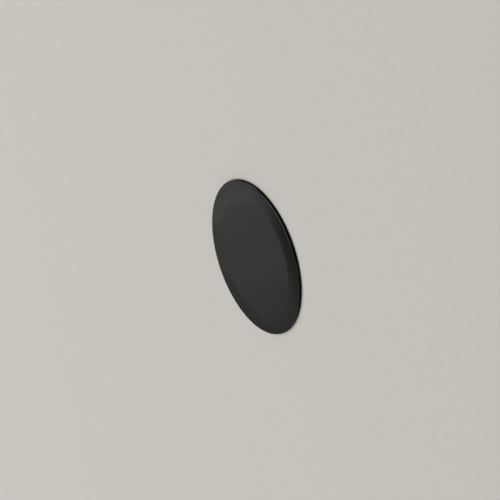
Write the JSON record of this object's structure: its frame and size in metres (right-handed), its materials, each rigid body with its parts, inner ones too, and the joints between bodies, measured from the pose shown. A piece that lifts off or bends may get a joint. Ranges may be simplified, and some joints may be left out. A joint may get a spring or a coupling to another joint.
{
  "type": "stick-on magnetic phone adapter",
  "caption": "Thin round black disc that sticks to a phone's back with foam tape and holds it to a magnetic mount by a ring of flat magnets under its bevelled band.",
  "frame": {"origin": "centre of the tape's back face, where the disc touches the phone", "axes": "+Z out of the front face, away from the phone; +Y to the phone's top; +X to the phone's right edge, seen from behind"},
  "size_m": [0.0571, 0.057, 0.0013],
  "materials": {
    "shell": "fine moulded satin, black",
    "carrier": "matte moulded, dark grey",
    "shunt": "zinc-plated soft steel strip, dull",
    "plate": "matte black sheet",
    "tape": "black acrylic foam tape, dull",
    "magnet": "nickel plate, satin"
  },
  "bodies": {
    "root": {"front_shell": "shell", "magnet_carrier": "carrier", "steel_shunt": "shunt", "back_plate": "plate", "adhesive_pad": "tape", "magnet_01": "magnet", "magnet_02": "magnet", "magnet_03": "magnet", "magnet_04": "magnet", "magnet_05": "magnet", "magnet_06": "magnet", "magnet_07": "magnet", "magnet_08": "magnet", "magnet_09": "magnet", "magnet_10": "magnet", "magnet_11": "magnet", "magnet_12": "magnet", "magnet_13": "magnet", "magnet_14": "magnet", "magnet_15": "magnet", "magnet_16": "magnet", "magnet_17": "magnet", "magnet_18": "magnet"}
  },
  "joints": []
}
